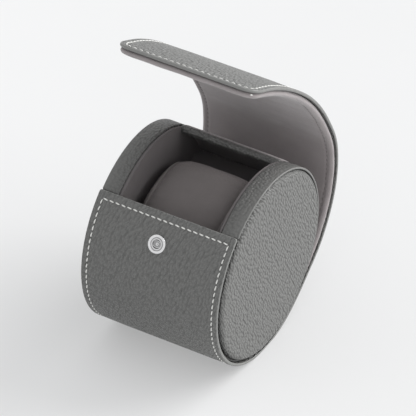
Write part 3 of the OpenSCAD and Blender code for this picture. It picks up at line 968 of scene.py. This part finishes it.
# ---------------------------------------------------------------- snap
def standing(x, off, h, base, a):
    """Points at the height h over a base (y, z) in the direction a, shifted by x and across by off."""
    d = polar(1, a)
    y = base[0] + h * d[0] - off * d[1]
    z = base[1] + h * d[1] + off * d[0] + AXIS_H
    return np.stack(np.broadcast_arrays(x, y, z), -1) * MM


def lathe(name, profile, base, a, turns=72, painted_shade_at=None):
    """Metal profile of (r, h) turned about the direction a, from a base point (y, z) off the axis."""
    t = np.linspace(0, TURN, turns, endpoint=False)[:, None]
    r, h = profile.T[:, None, :]
    v = standing(r * np.cos(t), r * np.sin(t), h, base, a)
    ob = make(name, v, quads(turns, len(profile), closed=True), M_SNAP, merge=False)
    # Painted shade along the profile, from the given function.
    attribute(ob.data, "recess_shade", np.tile([painted_shade_at(*q) if painted_shade_at else 0.0 for q in profile], turns))
    return ob


def socket_painted_shade(r, h):
    """Painted shade on a point of the socket's profile, from 0 to 1, by how deep in its hole or groove the
    point lies.
    """
    if r > 3.35 or h < 0:
        return 0.0
    if r < 2.1:
        return 0.1 if r < 0.8 else 0.85
    return 0.85 * max(0.0, min(1.0, (0.88 - h) / 0.2))


SOCKET_BASE = polar(DRUM_R, SNAP_A)
rim = SOCKET_D / 2
socket_line = rounded(
    [(0, 0.15), (0.55, 0.15), (0.9, 0.02), (2.0, 0.02), (2.2, 0.7), (2.5, 0.9), (2.9, 0.72), (3.2, 0.62),
     (3.5, 0.95), (4.05, 1.1), (4.6, 0.8), (rim, 0.3), (rim, -0.2), (1, -0.2)],
    [0, 0.3, 0.2, 0.3, 0.2, 0.35, 0.3, 0.2, 0.3, 0.6, 0.3, 0.2, 0, 0], steps=4)
socket = lathe("snap_socket_ring", socket_line, SOCKET_BASE, SNAP_A, painted_shade_at=socket_painted_shade)
dress(socket, "case", "snap_metal", "snap_socket")


def snap_spring(name, side):
    """One wire of the spring that grips the stud, bowed out across the socket's hole."""
    rows, ring, wire = 24, 8, 0.17
    u = np.linspace(-1, 1, rows)[:, None]
    t = np.linspace(0, TURN, ring, endpoint=False)
    off = side * (1.55 - 0.5 * u ** 2) + wire * np.cos(t)
    v = standing(1.9 * u, off, 0.2 + wire * np.sin(t), SOCKET_BASE, SNAP_A)
    dress(make(name, v, capped(rows, ring), M_SNAP), "case", "snap_metal")


snap_spring("snap_spring_lower", -1)
snap_spring("snap_spring_upper", 1)

# The stud stands on the flap's last segment, which is turned back by the angle OPENED from where it snaps
OPENED = closed_dir(LAST) - rest_dir(LAST)
WASHER_T, GLUE, STUD_CLEAR = 0.4, 0.05, 0.2
line_slope = math.radians(SNAP_A - closed_dir(LAST) + 90)
line_r = CLOSED_R * math.cos(math.radians(SEG_STEP / 2)) / math.cos(line_slope)
base_r = line_r - WASHER_T - 3 * GLUE
base = HINGES[LAST] + turned(polar(base_r, SNAP_A) - closed_hinge(LAST), math.radians(-OPENED))
reach = base_r - DRUM_R - STUD_CLEAR
knob = 1.8
stud_line = rounded(
    [(0, 0), (4.75, 0), (4.75, 0.4), (4.15, 0.8), (knob - 0.4, 0.8), (knob - 0.4, reach - 1.6),
     (knob, reach - 1.1), (knob, reach - 0.5), (knob - 0.5, reach), (0, reach)],
    [0, 0.1, 0.2, 0.2, 0.2, 0.1, 0.2, 0.2, 0.3, 0], steps=4)
stud = lathe("snap_stud_post", stud_line, base, SNAP_A + 180 - OPENED)
dress(stud, "flap_tip", "snap_metal", "snap_stud", "stud_washer")


# ---------------------------------------------------------------- pillow
PIPING_X, PIPING_R, GIRTH_R = 20.5, 0.85, 25.0
CLOTH_FRAMES, CLOTH_REACH = 20, 2.2 * MM


def apply_modifier(ob, name, kind, **settings):
    modifier = ob.modifiers.new(name, kind)
    for key, value in settings.items():
        setattr(modifier, key, value)
    bpy.ops.object.modifier_apply(modifier=name)


def inflate(ob):
    """Blows the cushion up as cloth, no point of it by more than CLOTH_REACH."""
    scene = bpy.context.scene
    rest = points(ob)
    cloth = ob.modifiers.new("cloth", "CLOTH")
    cloth.settings.use_pressure = True
    cloth.settings.uniform_pressure_force = 4.0
    cloth.settings.effector_weights.gravity = 0
    cloth.settings.tension_stiffness = 25
    cloth.settings.quality = 5
    cloth.point_cache.frame_start, cloth.point_cache.frame_end = 1, CLOTH_FRAMES
    for frame_no in range(1, CLOTH_FRAMES + 1):
        scene.frame_set(frame_no)
    step = points(ob.evaluated_get(bpy.context.evaluated_depsgraph_get())) - rest
    ob.modifiers.remove(cloth)
    scene.frame_set(1)
    step *= np.minimum(1, CLOTH_REACH / np.maximum(np.linalg.norm(step, axis=1, keepdims=True), 1e-9))
    ob.data.vertices.foreach_set("co", (rest + step).astype(np.float32).ravel())
    ob.data.update()


def pucker(ob):
    """Sinks the fabric along its two seams and lets it gather and crease a little beside them."""
    at, out = points(ob), np.array([v.normal for v in ob.data.vertices])
    x, y, z = at.T / MM
    beside = np.abs(x) - PIPING_X
    around = np.arctan2(z - AXIS_H - PILLOW_C[1], y - PILLOW_C[0]) * GIRTH_R
    gathers = np.sin(TURN * around / 5.2 + 2.5 * wobble(around, np.abs(x), 14.0, 2.0))
    push = -0.45 * bell(beside, 1.5)
    push += 0.22 * gathers * bell(beside, 4.5) * (1 - bell(beside, 1.2))
    push += 0.3 * wobble(x, around, 13.0, 6.0) + 0.12 * wobble(x, around, 5.0, 8.0)
    ob.data.vertices.foreach_set("co", (at + out * (push[:, None] - 0.15) * MM).astype(np.float32).ravel())
    ob.data.update()


def pillow():
    """Foam pillow in fabric: inflated as cloth from a slightly smaller form, gathered at two seams."""
    shrink = 1.6
    half = PILLOW["w"] / 2 - shrink
    loop = superellipse(PILLOW["l"] - 2 * shrink, PILLOW["h"] - 2 * shrink, 96)
    rings = []
    for x in half * np.sin(np.linspace(-math.pi / 2, math.pi / 2, 25)):
        k = max((1 - min(abs(x) / half, 1) ** 5) ** (1 / 3.2), 0.55)
        rings.append((x, turned(loop * (1 - (1 - k) * 0.42), LEAN) + PILLOW_C))
    ob = loft("pillow_cushion", rings, M_PILLOW)
    bpy.context.view_layer.objects.active = ob
    ob.select_set(True)
    apply_modifier(ob, "remesh", "REMESH", mode="VOXEL", voxel_size=3.2 * MM)
    inflate(ob)
    apply_modifier(ob, "sub", "SUBSURF", levels=1, render_levels=1)
    pucker(ob)
    ob.data.shade_smooth()
    ob.select_set(False)
    return ob


def piping(name, side, cushion, ring=10):
    """Cord sewn round one end of the cushion, on its fabric."""
    centre = Vector((side * PIPING_X * MM, PILLOW_C[0] * MM, (PILLOW_C[1] + AXIS_H) * MM))
    p = []
    for t in np.linspace(0, TURN, 160, endpoint=False):
        d = Vector((0, math.cos(t), math.sin(t)))
        p.append(np.array(cushion.ray_cast(centre + d * 0.08, -d)[0]) + np.array(d) * 0.1 * MM)
    p, across = np.array(p), np.array([1.0, 0, 0])
    d = np.roll(p, -1, 0) - np.roll(p, 1, 0)
    d /= np.linalg.norm(d, axis=1)[:, None]
    up = np.cross(d, across)
    up /= np.linalg.norm(up, axis=1)[:, None]
    t = np.linspace(0, TURN, ring, endpoint=False)
    cord = np.cos(t)[None, :, None] * up[:, None, :] + np.sin(t)[None, :, None] * across
    v = p[:, None, :] + PIPING_R * MM * cord
    dress(make(name, v, quads(len(p), ring, closed=True), M_PILLOW), "pillow", "pillow_fabric")


cushion = pillow()
pillow_nodes = ("pillow_cover", "pillow_core", "pillow_end_left", "pillow_end_right")
dress(cushion, "pillow", "pillow_fabric", *pillow_nodes, fill=0.75)
tree = BVHTree.FromObject(cushion, bpy.context.evaluated_depsgraph_get())
piping("pillow_left_piping", -1, tree)
piping("pillow_right_piping", 1, tree)


# ---------------------------------------------------------------- stage, light, camera
FLOOR_HALF = 6.0


def floor():
    """Pale floor; seen directly it is part backdrop, so that the object's shadow stays light."""
    n = Nodes(bpy.data.materials.new("floor"))
    colour = n.ramp(n.noise(n.coords(None), 0.004), [(0.3, 0.79), (0.7, 0.82)])
    solid = n.add("BsdfPrincipled", Base_Color=colour, Roughness=0.6, Specular_IOR_Level=0.1)
    glow = n.add("Emission", Color=(0.87, 0.87, 0.87, 1))
    n.between(n.maths("MULTIPLY", n.seen(), 0.37), solid.outputs[0], glow.outputs[0])
    me = bpy.data.meshes.new("floor")
    corners = [(-1, -1), (1, -1), (1, 1), (-1, 1)]
    me.from_pydata([(x * FLOOR_HALF, y * FLOOR_HALF, 0) for x, y in corners], [], [(0, 1, 2, 3)])
    me.materials.append(n.owner)
    link("floor", me)


def studio():
    """Soft light from all round, and a pale background where a ray sees the world directly."""
    world = bpy.data.worlds.new("studio")
    bpy.context.scene.world = world
    n = Nodes(world, "World")
    light = n.add("Background", Color=(0.97, 0.985, 1.0, 1), Strength=0.75)
    shown = n.add("Background", Color=(0.86, 0.86, 0.86, 1), Strength=1.0)
    n.between(n.seen(), light.outputs[0], shown.outputs[0])


def sun(name, towards, strength, soft):
    data = bpy.data.lights.new(name, "SUN")
    data.energy, data.angle = strength, math.radians(soft)
    ob = link(name, data)
    ob.rotation_mode = "QUATERNION"
    ob.rotation_quaternion = Vector(towards).to_track_quat("-Z", "Y")
    ob.location = (0, 0, 1.5)


floor()
studio()
sun("key", (-0.48, -0.69, -0.54), 2.1, 45)
sun("side", (-0.88, -0.26, -0.36), 0.65, 50)

# The camera looks from its azimuth and elevation, rolled a little, at a point beside the drum's middle
AZ, EL, ROLL = (math.radians(v) for v in (28.98, 37.96, 1.46))
DISTANCE, LENS, SENSOR = 2065.8, 365.0, 36.0
AIM_RIGHT, AIM_UP = 2.90, 15.84
CLIP_NEAR, CLIP_FAR = 0.05, 50

cam_data = bpy.data.cameras.new("camera")
cam_data.sensor_width = SENSOR
cam_data.lens = LENS
cam_data.clip_start, cam_data.clip_end = CLIP_NEAR, CLIP_FAR
cam = link("camera", cam_data)
back = Vector((math.sin(AZ) * math.cos(EL), -math.cos(AZ) * math.cos(EL), math.sin(EL)))
level = Vector((math.cos(AZ), math.sin(AZ), 0))
rise = back.cross(level)
right = math.cos(ROLL) * level + math.sin(ROLL) * rise
up = back.cross(right)
target = Vector((0, 0, AXIS_H)) + AIM_RIGHT * right + AIM_UP * up
turn = Matrix((right, up, back)).transposed()
cam.matrix_world = Matrix.Translation((target + DISTANCE * back) * MM) @ turn.to_4x4()
bpy.context.scene.camera = cam
bpy.context.scene.view_settings.view_transform = "Standard"
